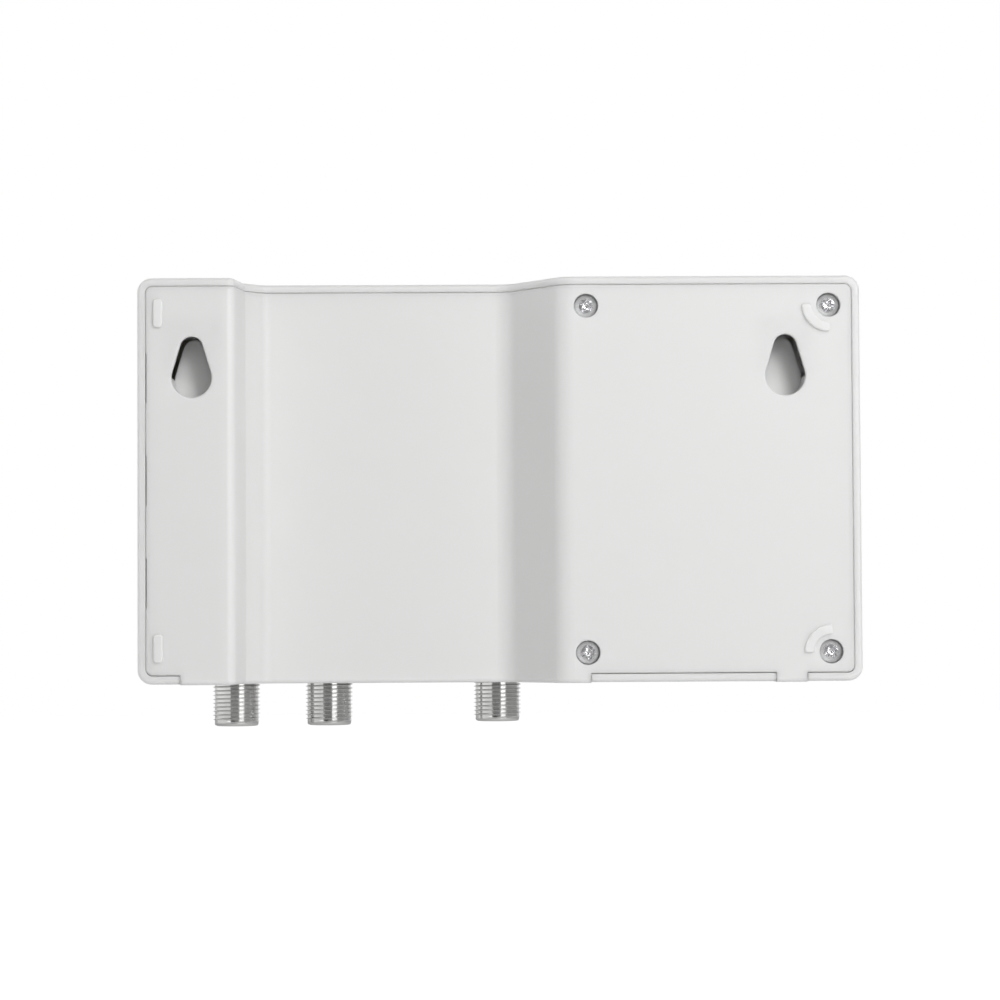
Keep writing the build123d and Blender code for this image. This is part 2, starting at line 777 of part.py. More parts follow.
with BuildPart() as gain_dial:
    rod(dial_x, dial_z, dial_radius, dial_base_y, dial_base_y + dial_height)
    chamfer(gain_dial.edges().group_by(Axis.Y)[-1], dial_edge_chamfer)
    with BuildSketch(facing_wall(dial_base_y)):
        with Locations((dial_x, dial_z)):
            with PolarLocations(dial_radius, dial_flutes):
                Circle(dial_flute_radius)
    extrude(amount=-dial_height, mode=Mode.SUBTRACT)
    box_between(
        (
            dial_x - dial_pointer_width / 2,
            dial_base_y + dial_height - dial_pointer_depth,
            dial_z + dial_radius * dial_pointer_start_share,
        ),
        (dial_x + dial_pointer_width / 2, dial_base_y + dial_height, dial_z + dial_radius),
        mode=Mode.SUBTRACT,
    )
    rod(dial_x, dial_z, shaft_radius + shaft_press_gap, dial_base_y, shaft_end_y, mode=Mode.SUBTRACT)
gain_dial.part.label = "gain_dial"
export_step(gain_dial.part, "parts/gain_dial.step")

# Indicator lamp and light guide
with BuildPart() as indicator_lamp:
    box_between(
        (lamp_x - lamp_width / 2, board_front_y, dial_z - lamp_length / 2),
        (lamp_x + lamp_width / 2, board_front_y + lamp_height, dial_z + lamp_length / 2),
    )
indicator_lamp.part.label = "indicator_lamp"
export_step(indicator_lamp.part, "parts/indicator_lamp.step")

with BuildPart() as light_guide:
    rod(lamp_x, dial_z, guide_flange_radius, front_inner_y - guide_flange_thickness, front_inner_y)
    rod(lamp_x, dial_z, guide_radius, front_inner_y, front_y + guide_proud)
    fillet(light_guide.edges().group_by(Axis.Y)[-1], guide_dome)
light_guide.part.label = "light_guide"
export_step(light_guide.part, "parts/light_guide.step")

# Screening box: a fence with one partition, and its lid
fence_left = board_left + fence_left_gap
fence_right = board_right - supply_room
fence_bottom = inner_bottom + flange_wall_gap + flange_thickness + block_length + fence_block_gap
fence_top = board_top - fence_top_gap
fence_y = board_y - fence_height
partition_x = fence_left + (fence_right - fence_left) * partition_share
with BuildPart() as screen_fence:
    box_between((fence_left, fence_y, fence_bottom), (fence_right, board_y, fence_top))
    for low_x, high_x in ((fence_left, partition_x), (partition_x, fence_right)):
        box_between(
            (low_x + fence_thickness, fence_y, fence_bottom + fence_thickness),
            (high_x - fence_thickness, board_y, fence_top - fence_thickness),
            mode=Mode.SUBTRACT,
        )
screen_fence.part.label = "screen_fence"
export_step(screen_fence.part, "parts/screen_fence.step")

with BuildPart() as screen_lid:
    grow = lid_fit + lid_thickness
    box_between(
        (fence_left - grow, fence_y - lid_thickness, fence_bottom - grow),
        (fence_right + grow, fence_y + lid_skirt, fence_top + grow),
    )
    box_between(
        (fence_left - lid_fit, fence_y, fence_bottom - lid_fit),
        (fence_right + lid_fit, fence_y + lid_skirt, fence_top + lid_fit),
        mode=Mode.SUBTRACT,
    )
screen_lid.part.label = "screen_lid"
export_step(screen_lid.part, "parts/screen_lid.step")

# Parts on the board inside the screening box
output_x = (fence_left + partition_x) / 2
filter_x = (partition_x + fence_right) / 2
upper_z = fence_bottom + (fence_top - fence_bottom) * upper_row_share
lower_z = fence_bottom + (fence_top - fence_bottom) * lower_row_share


def on_board(x, z, width, length, height):
    """Block standing on the wall side of the board."""
    box_between(
        (x - width / 2, board_y - height, z - length / 2),
        (x + width / 2, board_y, z + length / 2),
    )


with BuildPart() as amplifier_chips:
    for side in (-1, 1):
        on_board(filter_x + side * chip_pitch / 2, lower_z, chip_width, chip_length, chip_height)
amplifier_chips.part.label = "amplifier_chips"
export_step(amplifier_chips.part, "parts/amplifier_chips.step")

coil_room = fence_right - partition_x - (fence_thickness + coil_end_gap) * 2
coil_count = int(coil_room / coil_pitch)
with BuildPart() as filter_coils:
    for i in range(coil_count):
        x = filter_x + coil_pitch * (i - (coil_count - 1) / 2)
        axis_y = board_y - coil_outer_radius
        ends = (upper_z - coil_length / 2, upper_z + coil_length / 2)
        upright(x, axis_y, coil_outer_radius, *ends)
        upright(x, axis_y, coil_bore_radius, *ends, mode=Mode.SUBTRACT)
filter_coils.part.label = "filter_coils"
export_step(filter_coils.part, "parts/filter_coils.step")

with BuildPart() as splitter_core:
    on_board(output_x, lower_z, core_width, core_length, core_height)
    for side in (-1, 1):
        upright(
            output_x + side * core_bore_pitch / 2,
            board_y - core_height / 2,
            core_bore_radius,
            lower_z - core_length / 2,
            lower_z + core_length / 2,
            mode=Mode.SUBTRACT,
        )
splitter_core.part.label = "splitter_core"
export_step(splitter_core.part, "parts/splitter_core.step")

ceramic_room = partition_x - fence_left - (fence_thickness + ceramic_end_gap) * 2
ceramic_columns = int(ceramic_room / ceramic_pitch_x)
with BuildPart() as ceramic_chips:
    for column in range(ceramic_columns):
        for row in range(ceramic_rows):
            x = output_x + ceramic_pitch_x * (column - (ceramic_columns - 1) / 2)
            z = upper_z + ceramic_pitch_z * (row - (ceramic_rows - 1) / 2)
            on_board(x, z, ceramic_width, ceramic_length, ceramic_height)
ceramic_chips.part.label = "ceramic_chips"
export_step(ceramic_chips.part, "parts/ceramic_chips.step")

# Power supply parts on the open side of the board
with BuildPart() as smoothing_capacitors:
    z = board_top - capacitor_top_gap
    for x in (board_right - capacitor_right_gap, board_right - capacitor_right_gap - capacitor_pitch):
        rod(x, z, capacitor_radius, board_y - capacitor_height, board_y)
        with BuildSketch(Plane(origin=(x, 0, z), x_dir=(1, 0, 0), z_dir=(0, 0, 1))):
            with Locations((capacitor_radius, board_y - capacitor_groove_rise)):
                Circle(capacitor_groove_radius)
        revolve(axis=Axis((x, 0, z), (0, 1, 0)), mode=Mode.SUBTRACT)
smoothing_capacitors.part.label = "smoothing_capacitors"
export_step(smoothing_capacitors.part, "parts/smoothing_capacitors.step")

choke_x = fence_right + choke_left_gap
with BuildPart() as choke_core:
    rod(choke_x, case_mid_z, choke_radius, board_y - choke_flange_thickness, board_y)
    rod(choke_x, case_mid_z, choke_core_radius, board_y - choke_height, board_y)
    outer_flange_y = board_y - choke_height
    rod(choke_x, case_mid_z, choke_radius, outer_flange_y, outer_flange_y + choke_flange_thickness)
choke_core.part.label = "choke_core"
export_step(choke_core.part, "parts/choke_core.step")

with BuildPart() as choke_winding:
    ends = (
        outer_flange_y + choke_flange_thickness + choke_winding_gap,
        board_y - choke_flange_thickness - choke_winding_gap,
    )
    rod(choke_x, case_mid_z, choke_winding_radius, *ends)
    rod(choke_x, case_mid_z, choke_core_radius + choke_winding_gap, *ends, mode=Mode.SUBTRACT)
choke_winding.part.label = "choke_winding"
export_step(choke_winding.part, "parts/choke_winding.step")

regulator_x = choke_x + regulator_choke_gap
with BuildPart() as voltage_regulator:
    tab_low_z = case_mid_z + regulator_body_depth / 2
    on_board(regulator_x, case_mid_z, regulator_width, regulator_body_depth, regulator_body_height)
    box_between(
        (regulator_x - regulator_width / 2, board_y - regulator_tab_height, tab_low_z),
        (regulator_x + regulator_width / 2, board_y, tab_low_z + regulator_tab_thickness),
    )
    hole_y = board_y - (regulator_body_height + regulator_tab_height) / 2
    upright(
        regulator_x,
        hole_y,
        regulator_tab_hole_radius,
        tab_low_z,
        tab_low_z + regulator_tab_thickness,
        mode=Mode.SUBTRACT,
    )
voltage_regulator.part.label = "voltage_regulator"
export_step(voltage_regulator.part, "parts/voltage_regulator.step")
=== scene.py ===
# %% [markdown]
# A television signal amplifier that hangs on a wall, built as a lesson. We look at it from its
# wall side: a white moulded case with a stepped back, two keyholes, four cross-head screws and
# three threaded sockets that point down. The case, the cover and the parts of the circuit come
# from the CAD model. Here they get their finish, and the threads, screw heads and windings,
# which CAD only sketches, are modelled in full.
#
# First we load the CAD model. Its nodes are in metres, Z points up as the amplifier hangs, and
# the wall side faces -Y.

# %% Load the frame
import json
import math
import random

import bmesh
import bpy
from mathutils import Matrix, Vector


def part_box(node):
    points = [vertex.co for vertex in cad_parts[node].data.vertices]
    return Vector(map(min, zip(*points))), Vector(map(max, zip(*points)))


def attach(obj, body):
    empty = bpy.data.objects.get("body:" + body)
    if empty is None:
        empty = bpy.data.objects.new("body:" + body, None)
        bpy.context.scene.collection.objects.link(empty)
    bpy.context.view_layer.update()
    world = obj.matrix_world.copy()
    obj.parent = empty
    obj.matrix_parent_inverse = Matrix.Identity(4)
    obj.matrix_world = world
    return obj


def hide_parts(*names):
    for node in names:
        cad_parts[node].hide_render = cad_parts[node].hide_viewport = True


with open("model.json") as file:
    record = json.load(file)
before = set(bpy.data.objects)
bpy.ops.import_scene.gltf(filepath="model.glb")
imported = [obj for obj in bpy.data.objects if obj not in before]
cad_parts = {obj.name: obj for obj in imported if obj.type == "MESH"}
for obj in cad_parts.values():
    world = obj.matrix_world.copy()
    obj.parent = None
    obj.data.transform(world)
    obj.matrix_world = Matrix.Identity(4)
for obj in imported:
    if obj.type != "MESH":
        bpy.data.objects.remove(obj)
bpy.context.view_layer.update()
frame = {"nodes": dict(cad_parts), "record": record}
nodes = frame["nodes"]
mm = 0.001


# %% [markdown]
# The camera stands 60 cm behind the amplifier, a little left of its middle and below it, and
# looks up by two degrees. Such a long lens keeps the sides nearly straight, yet the deeper
# valley in the back still looks slightly smaller than the two raised parts beside it.

# %% Place the camera
camera = bpy.data.objects.new("camera", bpy.data.cameras.new("camera"))
bpy.context.scene.collection.objects.link(camera)
bpy.context.scene.camera = camera
bpy.context.scene.view_settings.view_transform = "Standard"
camera_place = (-0.0060736, -0.5992, -0.053345)
turn_degrees, tilt_degrees, roll_degrees = -0.7735, 2.2574, 0.3151
camera.data.sensor_width, camera.data.lens, camera.data.clip_start = 36.0, 111.887, 0.01
turn = Matrix.Rotation(math.radians(turn_degrees), 4, "Z")
tilt = Matrix.Rotation(math.radians(tilt_degrees), 4, "X")
roll = Matrix.Rotation(math.radians(roll_degrees), 4, "Y")
upright = Matrix.Rotation(math.radians(90), 4, "X")
camera.matrix_world = Matrix.Translation(camera_place) @ turn @ tilt @ roll @ upright
print("camera looks along", [round(v, 4) for v in camera.matrix_world.to_3x3() @ Vector((0, 0, -1))])

# %% [markdown]
# A white product is usually lit by a large even tent and one soft lamp. Every finish below is
# made of shader nodes, and so is the tent. To keep that readable, we first write three small
# helpers: one adds a node, one does sums on sockets, and one makes a ramp of greys.

# %% Helpers for node trees
def add_node(tree, kind, **settings):
    """New node. Settings name its inputs or its own properties."""
    node = tree.nodes.new(kind)
    for key, value in settings.items():
        if hasattr(node, key):
            setattr(node, key, value)
        else:
            node.inputs[key].default_value = value
    return node


def math_node(tree, operation, first, second=None, third=None):
    """Math node on sockets or numbers, and its result."""
    node = tree.nodes.new("ShaderNodeMath")
    node.operation = operation
    for socket, value in zip(node.inputs, (first, second, third)):
        if value is None:
            continue
        if isinstance(value, (int, float)):
            socket.default_value = value
        else:
            tree.links.new(value, socket)
    return node.outputs[0]


def ramp(tree, factor, stops):
    """Grey ramp through (place, level) stops."""
    node = tree.nodes.new("ShaderNodeValToRGB")
    elements = node.color_ramp.elements
    while len(elements) < len(stops):
        elements.new(0.5)
    for element, (place, level) in zip(elements, stops):
        element.position = place
        element.color = (level, level, level, 1)
    tree.links.new(factor, node.inputs[0])
    return node.outputs[0]


# %% [markdown]
# The tent is the world. The camera sees it as white. Matt surfaces get its light from panels all
# round, so that the sides and the front of the case aren't lost in other views. Metal and gloss
# see a room of their own, with a pale left, a dark camera side and one bright strip beside it:
# polished cylinders show such a room as upright bands, and need them to look like metal.

# %% Set panels round the object
world = bpy.data.worlds.new("tent")
bpy.context.scene.world = world
world.use_nodes = True
sky = world.node_tree
sky.nodes.clear()
axes = sky.nodes.new("ShaderNodeSeparateXYZ")
sky.links.new(sky.nodes.new("ShaderNodeTexCoord").outputs["Generated"], axes.inputs[0])

# Where a ray goes: round the upright axis from the far side (0) over the left (0.25), the
# camera's side (0.5) and the right (0.75), and how high
east, north, high = axes.outputs
turned = math_node(sky, "ARCTAN2", east, math_node(sky, "MULTIPLY", north, -1.0))
place_round = math_node(sky, "MULTIPLY_ADD", turned, 1 / (2 * math.pi), 0.5)
room = {  # where each panel starts and ends, its level for matt surfaces and its level in reflections
    "far side, left": (0.0, 0.17, 1.6, 1.0),
    "left": (0.17, 0.31, 1.3, 1.35),
    "left front": (0.31, 0.42, 0.2, 1.35),
    "camera": (0.42, 0.55, 0.80, 0.09),
    "bright strip": (0.55, 0.62, 0.1, 2.6),
    "right front": (0.62, 0.70, 0.1, 0.2),
    "right": (0.70, 0.85, 0.6, 0.28),
    "far side, right": (0.85, 1.0, 1.6, 1.0),
}
blur = 0.005
soft_stops, gloss_stops = [], []
for start, end, soft_level, gloss_level in room.values():
    for place in (start + blur if start else 0.0, end - blur if end < 1 else 1.0):
        soft_stops.append((place, soft_level))
        gloss_stops.append((place, gloss_level))
soft_room = ramp(sky, place_round, soft_stops)
gloss_room = ramp(sky, place_round, gloss_stops)
print(len(room), "panels round the object")

# %% [markdown]
# The panels only say how light changes round the object. Above and below them, the light for matt
# surfaces fades to a level of its own. The ceiling is dim, because the top of the case would turn
# a flat white under a bright one, and its edge would be lost against the background.

# %% Add the ceiling and the floor side
def fade(tree, share, first, second):
    """Goes from first, where share is 0, to second, where it is 1."""
    return math_node(tree, "MULTIPLY_ADD", share, math_node(tree, "SUBTRACT", second, first), first)


# Heights run from 0, straight down, to 1, straight up
ceiling_level, ceiling_start, ceiling_full = 0.27, 0.70, 0.80
floor_side_level, floor_side_full, floor_side_end = 0.3, 0.20, 0.30
half_high = math_node(sky, "MULTIPLY_ADD", high, 0.5, 0.5)
upper = ramp(sky, half_high, [(0.0, 0.0), (ceiling_start, 0.0), (ceiling_full, 1.0)])
lower = ramp(sky, half_high, [(0.0, 1.0), (floor_side_full, 1.0), (floor_side_end, 0.0)])
soft_room = fade(sky, upper, soft_room, ceiling_level)
soft_room = fade(sky, lower, soft_room, floor_side_level)
print("ceiling", ceiling_level, "floor side", floor_side_level)

# %% [markdown]
# One world has to serve every kind of ray, and the Light Path node tells them apart. Camera rays
# see plain white, mirrored rays and those through clear plastic see the bright and dark panels,
# and all others bring the soft light. So the background can be white without more light on the
# object.

# %% Show each ray its room
rays = sky.nodes.new("ShaderNodeLightPath")
seen = rays.outputs["Is Camera Ray"]
mirrored = math_node(sky, "MAXIMUM", rays.outputs["Is Glossy Ray"], rays.outputs["Is Transmission Ray"])
level = math_node(sky, "MULTIPLY", gloss_room, mirrored)
plain = math_node(sky, "MULTIPLY", soft_room, math_node(sky, "SUBTRACT", 1.0, mirrored))
not_seen = math_node(sky, "SUBTRACT", 1.0, seen)
unseen = math_node(sky, "MULTIPLY", math_node(sky, "ADD", level, plain), not_seen)
background = add_node(sky, "ShaderNodeBackground", Color=(1, 1, 1, 1))
sky.links.new(math_node(sky, "ADD", unseen, seen), background.inputs["Strength"])
sky.links.new(background.outputs[0], sky.nodes.new("ShaderNodeOutputWorld").inputs["Surface"])
print("world of", len(sky.nodes), "nodes")

# %% [markdown]
# One soft lamp gives the light its direction. It stands to the right of the camera and above it,
# but near enough to the middle that part of its light still reaches the floors of the keyholes.
# They are darkest at their upper right, where the rim stands in the lamp's way.

# %% Hang the lamp
lamp_place, lamp_target = Vector((0.32, -0.72, 0.29)), Vector((0, 0, -0.02))
lamp_width, lamp_height, lamp_watts = 0.26, 0.34, 3.85
lamp = bpy.data.objects.new("main_lamp", bpy.data.lights.new("main_lamp", "AREA"))
bpy.context.scene.collection.objects.link(lamp)
lamp.data.shape = "RECTANGLE"
lamp.data.size, lamp.data.size_y, lamp.data.energy = lamp_width, lamp_height, lamp_watts
lamp.location = lamp_place
lamp.rotation_euler = (lamp_target - lamp_place).to_track_quat("-Z", "Y").to_euler()
lamp.visible_camera = False
print("lamp of", lamp_watts, "W", round((lamp_place - lamp_target).length, 2), "m away")

# %% [markdown]
# The floor lies below the sockets, outside the picture. It is pale and matt, and as bright as
# the white of the background where nothing shades it, so it still shows the object's shadow in
# other views. From below it lets the camera look through.

# %% Lay the floor
floor_mesh = bpy.data.meshes.new("floor")
floor_reach, floor_height = 3.0, -0.16
floor_grey, floor_glow = 0.86, 0.70
sides = ((-1, -1), (1, -1), (1, 1), (-1, 1))
corners = [(x * floor_reach, y * floor_reach, floor_height) for x, y in sides]
floor_mesh.from_pydata(corners, [], [(0, 1, 2, 3)])
floor = bpy.data.objects.new("floor", floor_mesh)
bpy.context.scene.collection.objects.link(floor)
pale = bpy.data.materials.new("pale_floor")
pale.use_nodes = True
tree = pale.node_tree
tree.nodes.clear()
matt = add_node(tree, "ShaderNodeBsdfDiffuse", Color=(floor_grey, floor_grey, floor_grey, 1))
glow = tree.nodes.new("ShaderNodeEmission")
glow_seen = tree.nodes.new("ShaderNodeLightPath").outputs["Is Camera Ray"]
tree.links.new(math_node(tree, "MULTIPLY", glow_seen, floor_glow), glow.inputs["Strength"])
both = tree.nodes.new("ShaderNodeAddShader")
tree.links.new(matt.outputs[0], both.inputs[0])
tree.links.new(glow.outputs[0], both.inputs[1])
see_through = tree.nodes.new("ShaderNodeBsdfTransparent")
either = tree.nodes.new("ShaderNodeMixShader")
tree.links.new(tree.nodes.new("ShaderNodeNewGeometry").outputs["Backfacing"], either.inputs[0])
tree.links.new(both.outputs[0], either.inputs[1])
tree.links.new(see_through.outputs[0], either.inputs[2])
tree.links.new(either.outputs[0], tree.nodes.new("ShaderNodeOutputMaterial").inputs["Surface"])
floor_mesh.materials.append(pale)
print("floor at", floor_height, "m")

# %% [markdown]
# The case is moulded in white ABS. The mould's cavity was spark-eroded, which leaves a very fine
# even grain that softens every reflection. We make the grain as a small bump from noise, about a
# tenth of a millimetre wide, and let the roughness wander a little over larger patches. One
# function builds every finish that way, so that they differ only in their numbers.

# %% Helper for finishes
finishes = {}
roughness_swing, relief_share, patches_per_metre = 0.12, 0.1, 90.0


def finish(name, colour, rough, metal=0.0, grain=0.1, bump=0.1, mottle=0.03, streak=(1, 1, 1), **sockets):
    """Procedural finish: colour with faint mottling, roughness that wanders, and a bumpy grain.
    grain is the grain's width in mm, streak stretches it along an axis."""
    material = bpy.data.materials.new(name)
    material.use_nodes = True
    tree = material.node_tree
    shader = tree.nodes["Principled BSDF"]
    shader.inputs["Metallic"].default_value = metal
    for key, value in sockets.items():
        shader.inputs[key.replace("_", " ")].default_value = value
    place = tree.nodes.new("ShaderNodeTexCoord").outputs["Object"]
    mapping = add_node(tree, "ShaderNodeMapping", Scale=streak)
    tree.links.new(place, mapping.inputs["Vector"])
    fine = add_node(tree, "ShaderNodeTexNoise", Scale=1000 / grain, Detail=3.0, Roughness=0.6)
    broad = add_node(tree, "ShaderNodeTexNoise", Scale=patches_per_metre, Detail=4.0, Roughness=0.55)
    tree.links.new(mapping.outputs[0], fine.inputs["Vector"])
    tree.links.new(place, broad.inputs["Vector"])
    shade = add_node(tree, "ShaderNodeMix", data_type="RGBA")
    darker = [c * (1 - mottle) for c in colour]
    lighter = [min(1, c * (1 + mottle)) for c in colour]
    shade.inputs["A"].default_value = (*darker, 1)
    shade.inputs["B"].default_value = (*lighter, 1)
    tree.links.new(broad.outputs["Fac"], shade.inputs["Factor"])
    tree.links.new(shade.outputs["Result"], shader.inputs["Base Color"])
    both = math_node(tree, "ADD", broad.outputs["Fac"], fine.outputs["Fac"])
    wandering = math_node(tree, "MULTIPLY_ADD", both, roughness_swing, rough - roughness_swing)
    tree.links.new(wandering, shader.inputs["Roughness"])
    relief = add_node(tree, "ShaderNodeBump", Strength=bump, Distance=grain * relief_share * mm)
    tree.links.new(fine.outputs["Fac"], relief.inputs["Height"])
    tree.links.new(relief.outputs[0], shader.inputs["Normal"])
    finishes[name] = material


# %% [markdown]
# White plastic lets some light in, so the casing gets subsurface scattering over two millimetres.
# The sockets are nickel, with a clear reflection, and the screws zinc, a little duller. The shaft
# and the tinplate of the screen were drawn and rolled one way, so their grain is stretched.

# %% Mix the finishes
finish("white_casing", (0.80, 0.80, 0.795), 0.50, grain=0.12, bump=0.35, mottle=0.008, Subsurface_Weight=1.0,
       Subsurface_Radius=(1.0, 1.0, 1.0), Subsurface_Scale=0.002)
finish("zinc_screw", (0.76, 0.76, 0.77), 0.18, metal=0.88, grain=0.05, bump=0.1, mottle=0.08)
finish("nickel", (0.69, 0.69, 0.68), 0.13, metal=1.0, grain=0.12, bump=0.12, mottle=0.05)
finish("socket_insulator", (0.84, 0.83, 0.78), 0.42, grain=0.2, bump=0.1, mottle=0.02)
finish("spring_bronze", (0.72, 0.55, 0.32), 0.28, metal=1.0, grain=0.05, bump=0.1, mottle=0.08)
finish("board_laminate", (0.72, 0.68, 0.56), 0.42, grain=0.4, bump=0.15, mottle=0.06)
finish("black_moulding", (0.035, 0.035, 0.04), 0.45, grain=0.1, bump=0.25, mottle=0.1)
finish("steel_shaft", (0.60, 0.60, 0.61), 0.28, metal=1.0, grain=0.1, bump=0.2, mottle=0.04,
       streak=(1, 0.1, 1))
finish("grey_dial", (0.40, 0.41, 0.42), 0.48, grain=0.1, bump=0.3, mottle=0.02)
finish("lamp_resin", (0.80, 0.84, 0.70), 0.20, grain=0.3, bump=0.05, mottle=0.02, Coat_Weight=0.5)
finish("clear_guide", (0.95, 0.97, 0.96), 0.18, grain=0.3, bump=0.03, mottle=0.01,
       Transmission_Weight=0.9, IOR=1.49)
finish("tinplate", (0.66, 0.67, 0.68), 0.36, metal=1.0, grain=0.3, bump=0.1, mottle=0.07,
       streak=(0.1, 1, 1))
finish("chip_epoxy", (0.045, 0.045, 0.045), 0.55, grain=0.08, bump=0.3, mottle=0.08)
finish("copper_wire", (0.72, 0.36, 0.17), 0.24, metal=1.0, grain=0.2, bump=0.05, mottle=0.1)
finish("ferrite", (0.10, 0.10, 0.105), 0.62, grain=0.15, bump=0.4, mottle=0.1)
finish("ceramic", (0.62, 0.52, 0.38), 0.5, grain=0.08, bump=0.2, mottle=0.06)
finish("capacitor_sleeve", (0.05, 0.07, 0.15), 0.25, grain=0.5, bump=0.1, mottle=0.05)
print(len(finishes), "finishes")

# %% [markdown]
# The frame's record names a material slot for each node. We only change what a node is made of,
# never its shape or place.

# %% Give each node its finish
slot_of = {part["node"]: part["material_slot"] for part in frame["record"]["subparts"]}
for name, node in nodes.items():
    material = finishes[slot_of[name]]
    if node.material_slots:
        for slot in node.material_slots:
            slot.material = material
    else:
        node.data.materials.append(material)
print(len(finishes), "finishes on", len(nodes), "nodes")

# %% [markdown]
# Threads, screw heads and windings are too fine for the CAD model, so we build their meshes
# here. Most of them are rings that follow each other along an axis or a path, and two helpers
# cover that: one joins rings with faces, and one turns an outline on a lathe. The third makes an
# object of a finished mesh. It shades it smooth, and keeps the edges that are sharp on metal.

# %% Helpers for meshes
weld, sliver = 1e-7, 1e-8  # in m: points as close as the first become one, edges below the second go


def new_piece(name, mesh_maker, slot, sharp=35):
    """Object made from a bmesh, smooth but for its sharp edges, with the finish of a slot."""
    mesh = bpy.data.meshes.new(name)
    bmesh.ops.remove_doubles(mesh_maker, verts=mesh_maker.verts, dist=weld)
    bmesh.ops.recalc_face_normals(mesh_maker, faces=mesh_maker.faces)
    mesh_maker.to_mesh(mesh)
    mesh_maker.free()
    mesh.validate()  # drops faces that a Boolean left doubled
    mesh.shade_smooth()
    mesh.set_sharp_from_angle(angle=math.radians(sharp))
    mesh.materials.append(finishes[slot])
    piece = bpy.data.objects.new(name, mesh)
    bpy.context.scene.collection.objects.link(piece)
    return piece


def join_rings(bm, rings):
    """Faces between each closed ring and the next."""
    for low_ring, high_ring in zip(rings, rings[1:]):
        for i, corner in enumerate(low_ring):
            j = (i + 1) % len(low_ring)
            bm.faces.new((corner, low_ring[j], high_ring[j], high_ring[i]))


def lathe(bm, points, place, around=64):
    """Turns (radius, height) points in mm round the upright axis at place. Zero radii close it."""
    rings = []
    for radius, height in points:
        ring = []
        for i in range(around):
            angle = 2 * math.pi * i / around
            spot = (radius * math.cos(angle), radius * math.sin(angle), height)
            ring.append(bm.verts.new(place @ (Vector(spot) * mm)))
        rings.append(ring)
    join_rings(bm, rings)


# %% [markdown]
# A coaxial socket has a fine thread, 32 turns to the inch, cut as one helix. A Screw modifier
# could wind it, but it leaves open ends. We wrap the thread's profile round the axis row by row:
# each row follows the helix, and after one turn it meets the row that lies one pitch further on.
# Every point is then pulled in to a limit, a radius for each height, which rounds the tip and
# ends the thread.

# %% Helper for threads
# One turn of the thread: (share of the pitch, share of the depth)
thread_shares = [(0.0, 0.0), (0.08, 0.45), (0.16, 1.0), (0.24, 1.0), (0.32, 0.45), (0.42, 0.0), (0.71, 0.0)]


def helix_thread(bm, place, crest, root, pitch, start, end, limit, around=72):
    """Outside of a right-hand thread from start to end in mm. limit(height) is its greatest radius."""
    turns = math.ceil((end - start) / pitch) + 2
    rows = [(t - 1 + share, root + (crest - root) * up) for t in range(turns) for share, up in thread_shares]
    grid = []
    for height_share, radius in rows:
        row = []
        for i in range(around + 1):
            angle = 2 * math.pi * i / around
            height = min(max(start + pitch * (height_share + i / around), start), end)
            r = min(radius, limit(height))
            spot = (r * math.cos(angle), r * math.sin(angle), height)
            row.append(bm.verts.new(place @ (Vector(spot) * mm)))
        grid.append(row)
    for low_row, high_row in zip(grid, grid[1:]):
        for i in range(around):
            bm.faces.new((low_row[i], low_row[i + 1], high_row[i + 1], high_row[i]))
    bmesh.ops.remove_doubles(bm, verts=bm.verts, dist=weld)
    bmesh.ops.dissolve_degenerate(bm, edges=bm.edges, dist=sliver)


# %% [markdown]
# A hexagon for a spanner has its corners turned off, which leaves curved edges on its flat faces.
# We get them by holding each point of a six-sided ring back to a greatest radius, which is smaller
# in the first and last ring. The block behind it is a plain box with small rounded edges.

# %% Helpers for the hexagon and the block
def nut_blank(bm, place, sides, apothem, rows, around=96):
    """Prism with this number of sides. rows are (height, greatest radius) and chamfer its corners."""
    rings = []
    for height, limit in rows:
        ring = []
        for i in range(around):
            angle = 2 * math.pi * i / around
            within = (angle + math.pi / sides) % (2 * math.pi / sides) - math.pi / sides
            r = min(apothem / math.cos(within), limit)
            spot = (r * math.cos(angle), r * math.sin(angle), height)
            ring.append(bm.verts.new(place @ (Vector(spot) * mm)))
        rings.append(ring)
    join_rings(bm, rings)
    bm.faces.new(rings[0])
    bm.faces.new(rings[-1])


def bevelled_box(bm, low_corner, high_corner, bevel):
    """Box between two corners in mm, with small rounded edges."""
    box = bmesh.new()
    bmesh.ops.create_cube(box, size=1.0)
    for vert in box.verts:
        sides = zip(low_corner, high_corner, vert.co)
        vert.co = Vector([(low + high) / 2 + share * (high - low) for low, high, share in sides]) * mm
    bmesh.ops.bevel(box, geom=box.edges, offset=bevel * mm, segments=2, affect="EDGES", profile=0.6)
    mesh = bpy.data.meshes.new("box")
    box.to_mesh(mesh)
    box.free()
    bm.from_mesh(mesh)
    bpy.data.meshes.remove(mesh)


# %% [markdown]
# Each socket is turned and milled from one bar of brass and plated with nickel: a threaded barrel,
# a hexagon against the wall of the case, and a square block inside. The CAD model has the thread
# as plain rings. Here it becomes a helix with narrow crests and flat roots, a plain rounded tip
# and a short run-in, because that is what gives the barrel its fine saw-tooth outline.

# %% Turn the three sockets
nut_sides, nut_across_flats, nut_height, nut_chamfer = 6, 11.0, 2.4, 0.45
nut_corner_radius, nut_face_radius = 6.4, 5.65
crest_radius, root_radius, thread_pitch = 4.7, 4.36, 0.79375
tip_round, plain_tip, plain_end, run_in_slope = 0.5, 0.8, 0.9, 1.2
bore_radius, bore_chamfer = 3.2, 0.15
block_height, block_half, block_round = 9.4, 5.0, 0.25


